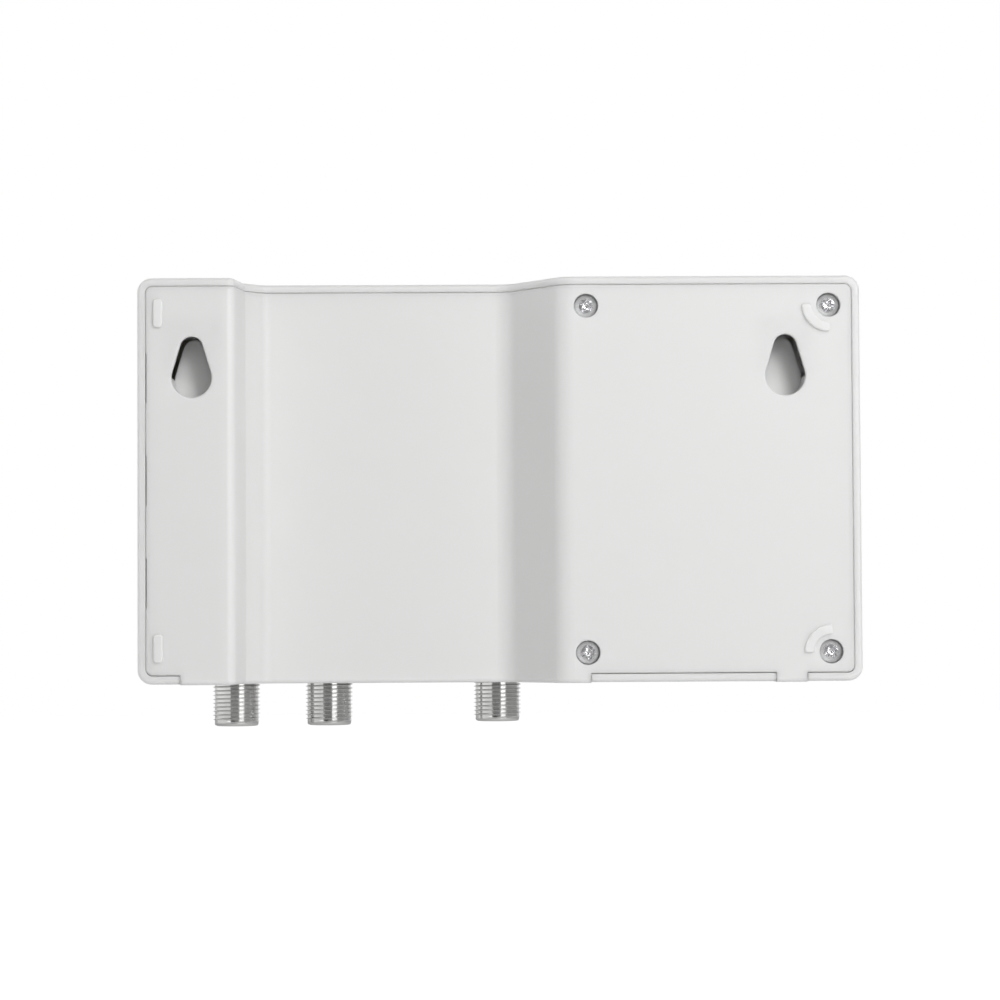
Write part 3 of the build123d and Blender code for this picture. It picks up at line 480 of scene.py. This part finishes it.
def thread_limit(length):
    """Limit of a socket's thread of this length in mm: rounded tip, plain ring, run-in, plain end."""
    def limit(height):
        if height < tip_round:
            return root_radius - tip_round + math.sqrt(tip_round ** 2 - (tip_round - height) ** 2)
        run_in = root_radius + max(0.0, height - plain_tip) * run_in_slope
        return min(run_in, crest_radius if height < length - plain_end else root_radius)
    return limit


for port in ("first_output", "second_output", "aerial_input"):
    low_corner, high_corner = (Vector(corner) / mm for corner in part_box(port + "_barrel"))
    inside_low, inside_high = (Vector(corner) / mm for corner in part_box(port + "_insulator"))
    axis_x = (low_corner.x + high_corner.x) / 2
    axis_y = (inside_low.y + inside_high.y) / 2
    place = Matrix.Translation(Vector((axis_x, axis_y, low_corner.z)) * mm)
    thread_length = high_corner.z - low_corner.z - block_height - nut_height
    bore_depth = inside_high.z - low_corner.z
    bm = bmesh.new()
    helix_thread(bm, place, crest_radius, root_radius, thread_pitch, 0.0, thread_length,
                 thread_limit(thread_length))
    lathe(bm, [(0, thread_length), (root_radius, thread_length)], place, around=72)
    lathe(bm, [(root_radius - tip_round, 0), (bore_radius + bore_chamfer, 0), (bore_radius, bore_chamfer),
               (bore_radius, bore_depth), (0, bore_depth)], place, around=72)
    nut_end = thread_length + nut_height
    nut_blank(bm, place, nut_sides, nut_across_flats / 2,
              [(thread_length, nut_face_radius), (thread_length + nut_chamfer, nut_corner_radius),
               (nut_end - nut_chamfer, nut_corner_radius), (nut_end, nut_face_radius)])
    block_low = Vector((axis_x - block_half, axis_y - block_half, low_corner.z + nut_end))
    bevelled_box(bm, block_low, Vector((axis_x + block_half, high_corner.y, high_corner.z)), block_round)
    threads = new_piece(port + "_threads", bm, "nickel", sharp=28)
    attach(threads, "root")
    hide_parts(port + "_barrel")
    print(port, "thread", round(thread_length, 2), "mm long,", len(threads.data.polygons), "faces")

# %% [markdown]
# The cover is held by four small pan-head screws in round recesses. Their heads are pressed with
# a cross recess: two tapered wings and a hollow middle. We cut them out with Booleans. A real
# punch leaves the walls of the recess uneven, and that is what makes it sparkle, so we move the
# points of each wing a little at random, from a fixed seed.

# %% Helpers for the cross recess
chance = random.Random(5)
punch_marks, wing_cuts = 0.06, 7
# Shares of the head's radius and height: half length, half width, height
wing_top_shares, wing_floor_shares = (0.68, 0.25, 1.1), (0.34, 0.14, 0.3)


def wing(bm, radius, height, turned):
    """One tapered wing of the cross recess in a head of this radius and height in mm, with uneven walls."""
    spin = Matrix.Rotation(turned, 4, "Z")
    corners = []
    for long_share, wide_share, height_share in (wing_floor_shares, wing_top_shares):
        a, b = radius * long_share, radius * wide_share
        for u, v in ((-a, -b), (a, -b), (a, b), (-a, b)):
            corners.append(bm.verts.new(spin @ (Vector((u, v, height * height_share)) * mm)))
    for face in ((3, 2, 1, 0), (4, 5, 6, 7), (0, 1, 5, 4), (1, 2, 6, 5), (2, 3, 7, 6), (3, 0, 4, 7)):
        bm.faces.new([corners[i] for i in face])
    bmesh.ops.subdivide_edges(bm, edges=bm.edges, cuts=wing_cuts, use_grid_fill=True)
    for vert in bm.verts:
        vert.co += Vector([chance.uniform(-punch_marks, punch_marks) * mm for _ in range(3)])


def boolean_cut(target, maker):
    """Cuts the closed mesh in maker out of the object target."""
    mesh = bpy.data.meshes.new("cutter")
    bmesh.ops.recalc_face_normals(maker, faces=maker.faces)
    maker.to_mesh(mesh)
    maker.free()
    cutter = bpy.data.objects.new("cutter", mesh)
    bpy.context.scene.collection.objects.link(cutter)
    cut = target.modifiers.new("cut", "BOOLEAN")
    cut.operation, cut.solver, cut.object = "DIFFERENCE", "EXACT", cutter
    depsgraph = bpy.context.evaluated_depsgraph_get()
    result = bpy.data.meshes.new_from_object(target.evaluated_get(depsgraph))
    target.modifiers.clear()
    target.data = result
    bpy.data.objects.remove(cutter)


# %% [markdown]
# The head is turned on a lathe from its outline, with a raised disc round the recess, then cut.
# The shank gets the same kind of thread as a socket, but it narrows to a blunt point. Both become
# one mesh, so that we make each kind of screw only once.

# %% Make one screw
# Outlines as (share of the head's radius, share of its height)
head_shares = [(0.0, 0.0), (1.0, 0.0), (1.0, 0.50), (0.985, 0.62), (0.93, 0.72), (0.81, 0.80), (0.68, 0.86),
               (0.655, 0.93), (0.60, 0.97), (0.0, 1.0)]
hollow_shares = [(0.0, 0.15), (0.14, 0.2), (0.3, 1.1), (0.0, 1.1)]
shank_end_share, shank_root_share, point_slope = 0.25, 0.78, 1.2


def screw_mesh(name, radius, height, shank, length, pitch):
    """Mesh of one cross-head screw: head up along Z from its seat at 0, shank down to -length, in mm."""
    here = Matrix.Identity(4)
    bm = bmesh.new()
    lathe(bm, [(radius * r, height * h) for r, h in head_shares], here)
    bmesh.ops.remove_doubles(bm, verts=bm.verts, dist=weld)
    bmesh.ops.recalc_face_normals(bm, faces=bm.faces)
    mesh = bpy.data.meshes.new(name)
    bm.to_mesh(mesh)
    bm.free()
    head = bpy.data.objects.new(name, mesh)
    bpy.context.scene.collection.objects.link(head)
    for turned in (0, math.pi / 2):
        cutter = bmesh.new()
        wing(cutter, radius, height, turned)
        boolean_cut(head, cutter)
    cutter = bmesh.new()
    lathe(cutter, [(radius * r, height * h) for r, h in hollow_shares], here, around=24)
    bmesh.ops.remove_doubles(cutter, verts=cutter.verts, dist=weld)
    boolean_cut(head, cutter)
    mesh = head.data
    bpy.data.objects.remove(head)

    def point(along):
        """Limit of the shank's thread, which narrows to a blunt point."""
        return min(shank, shank_end_share * shank + (along + length) * point_slope)

    bm = bmesh.new()
    helix_thread(bm, here, shank, shank * shank_root_share, pitch, -length, 0.0, point, around=32)
    lathe(bm, [(shank_end_share * shank, -length), (0, -length)], here, around=32)
    lathe(bm, [(shank, 0.0), (0, 0.0)], here, around=32)
    bmesh.ops.remove_doubles(bm, verts=bm.verts, dist=weld)
    bm.from_mesh(mesh)
    bm.to_mesh(mesh)
    bm.free()
    return mesh


# %% [markdown]
# The places of the screws come from the boxes of their CAD nodes: the outermost screws touch the
# box's sides. Each is left at another angle, as after a real assembly. The heads in the cover fill
# their recesses more closely than in CAD, as in the photo.

# %% Drive the cover's screws in
def set_screws(name, node, mesh, seats):
    """All screws of a node as one piece. seats are (x, y, z, turn) in mm and degrees."""
    bm = bmesh.new()
    for x, y, z, degrees in seats:
        copy = mesh.copy()
        towards_wall = Matrix.Translation(Vector((x, y, z)) * mm) @ Matrix.Rotation(math.radians(90), 4, "X")
        copy.transform(towards_wall @ Matrix.Rotation(math.radians(degrees), 4, "Z"))
        bm.from_mesh(copy)
        bpy.data.meshes.remove(copy)
    piece = new_piece(name, bm, "zinc_screw", sharp=24)
    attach(piece, "root")
    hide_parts(node)
    print(name, len(piece.data.polygons), "faces")


screw_turns = (12, 58, 33, 76)
closer_fit = 1.07
cover_low, cover_high = (Vector(corner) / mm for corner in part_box("cover_screws"))
head_radius, head_height, shank_radius, screw_pitch = 2.1, 1.5, 1.25, 1.0
seat_y = cover_low.y + head_height
left, right = cover_low.x + head_radius, cover_high.x - head_radius
low_row, high_row = cover_low.z + head_radius, cover_high.z - head_radius
pan_head = screw_mesh("pan_head", head_radius * closer_fit, head_height, shank_radius,
                      cover_high.y - seat_y, screw_pitch)
spots = ((left, low_row), (left, high_row), (right, low_row), (right, high_row))
set_screws("cover_screw_set", "cover_screws", pan_head,
           [(x, seat_y, z, turn) for (x, z), turn in zip(spots, screw_turns)])

# %% [markdown]
# The four screws of the circuit board are made the same way, a size smaller. The lower right one
# stands further in, to leave room for the power inlet.

# %% Drive the board's screws in
inlet_room = 15.0
board_low, board_high = (Vector(corner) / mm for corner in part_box("board_screws"))
head_radius, head_height, shank_radius, screw_pitch = 1.9, 1.2, 1.1, 0.8
seat_y = board_low.y + head_height
left, right = board_low.x + head_radius, board_high.x - head_radius
low_row, high_row = board_low.z + head_radius, board_high.z - head_radius
board_head = screw_mesh("board_head", head_radius, head_height, shank_radius,
                        board_high.y - seat_y, screw_pitch)
spots = ((left, high_row), (left, low_row), (right, high_row), (right - inlet_room, low_row))
set_screws("board_screw_set", "board_screws", board_head,
           [(x, seat_y, z, turn) for (x, z), turn in zip(spots, screw_turns)])

# %% [markdown]
# Copper wire is a tube swept along a path. A curve with a bevel could do it, but a tube of our own
# keeps its rings in hand: each stands square to the wire, and is turned on from the ring before,
# so that the tube doesn't twist.

# %% Helper for wire
def wire(bm, points, radius, sides=8):
    """Round wire along points in mm."""
    path = [Vector(p) for p in points]
    along = [(b - a).normalized() for a, b in zip(path, path[1:])]
    along = [along[0]] + [(a + b).normalized() for a, b in zip(along, along[1:])] + [along[-1]]
    side = along[0].orthogonal().normalized()
    rings = []
    for spot, run in zip(path, along):
        side = (side - run * side.dot(run)).normalized()
        other = run.cross(side)
        ring = []
        for i in range(sides):
            angle = 2 * math.pi * i / sides
            outward = side * math.cos(angle) + other * math.sin(angle)
            ring.append(bm.verts.new((spot + outward * radius) * mm))
        rings.append(ring)
    join_rings(bm, rings)
    bm.faces.new(rings[0])
    bm.faces.new(rings[-1])


# %% [markdown]
# The coils of the filter stand free, six in a row. Each is a helix of bare wire, and its two ends
# go to the board.

# %% Wind the six coils
coil_low, coil_high = (Vector(corner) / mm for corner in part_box("filter_coils"))
wire_radius, coil_count, coil_turns, steps, lead_bend = 0.27, 6, 6, 20, 0.5
coil_radius = (coil_high.y - coil_low.y) / 2 - wire_radius
axis_y = (coil_low.y + coil_high.y) / 2
board_back = coil_high.y
spacing = (coil_high.x - coil_low.x - 2 * (coil_radius + wire_radius)) / (coil_count - 1)
bm = bmesh.new()
for i in range(coil_count):
    axis_x = coil_low.x + coil_radius + wire_radius + spacing * i
    rise = (coil_high.z - coil_low.z - 2 * wire_radius) / coil_turns
    start = coil_low.z + wire_radius
    points = [(axis_x + coil_radius, board_back, start), (axis_x + coil_radius, axis_y + lead_bend, start)]
    for step in range(coil_turns * steps + 1):
        angle = -2 * math.pi * step / steps
        points.append((axis_x + coil_radius * math.cos(angle), axis_y + coil_radius * math.sin(angle),
                       start + rise * step / steps))
    points += [(axis_x + coil_radius, axis_y + lead_bend, coil_high.z - wire_radius),
               (axis_x + coil_radius, board_back, coil_high.z - wire_radius)]
    wire(bm, points, wire_radius)
coils = new_piece("wound_coils", bm, "copper_wire", sharp=60)
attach(coils, "root")
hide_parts("filter_coils")
print("coils of", coil_turns, "turns,", len(coils.data.polygons), "faces")

# %% [markdown]
# The choke's wire lies turn against turn between the flanges of its ferrite bobbin, over a smooth
# inner layer, and its end is led over the flange to the board.

# %% Wind the choke
turn_low, turn_high = (Vector(corner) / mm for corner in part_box("choke_winding"))
core_low, core_high = (Vector(corner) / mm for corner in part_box("choke_core"))
middle = (turn_low + turn_high) / 2
wire_radius, steps, layer_gap, lead_bend, lead_aside = 0.26, 48, 0.1, 0.6, 1.0
radius = (turn_high.x - turn_low.x) / 2 - wire_radius
bm = bmesh.new()
on_axis = Matrix.Translation(Vector((middle.x, 0, middle.z)) * mm)
towards_front = on_axis @ Matrix.Rotation(math.radians(-90), 4, "X")
lathe(bm, [(radius - layer_gap, turn_low.y), (radius - layer_gap, turn_high.y)], towards_front)
rounds = int((turn_high.y - turn_low.y - 2 * wire_radius) / (2 * wire_radius))
rise = (turn_high.y - turn_low.y - 2 * wire_radius) / rounds
points = []
for step in range(rounds * steps + 1):
    angle = 2 * math.pi * step / steps
    points.append((middle.x + radius * math.cos(angle), turn_low.y + wire_radius + rise * step / steps,
                   middle.z + radius * math.sin(angle)))
flange = (core_high.x - core_low.x) / 2 + wire_radius
points += [(middle.x + (radius + flange) / 2, turn_high.y - wire_radius, middle.z + lead_bend),
           (middle.x + flange, turn_high.y, middle.z + lead_aside),
           (middle.x + flange, core_high.y, middle.z + lead_aside)]
wire(bm, points, wire_radius)
choke = new_piece("wound_choke", bm, "copper_wire", sharp=60)
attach(choke, "root")
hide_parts("choke_winding")
print("choke of", rounds, "turns")
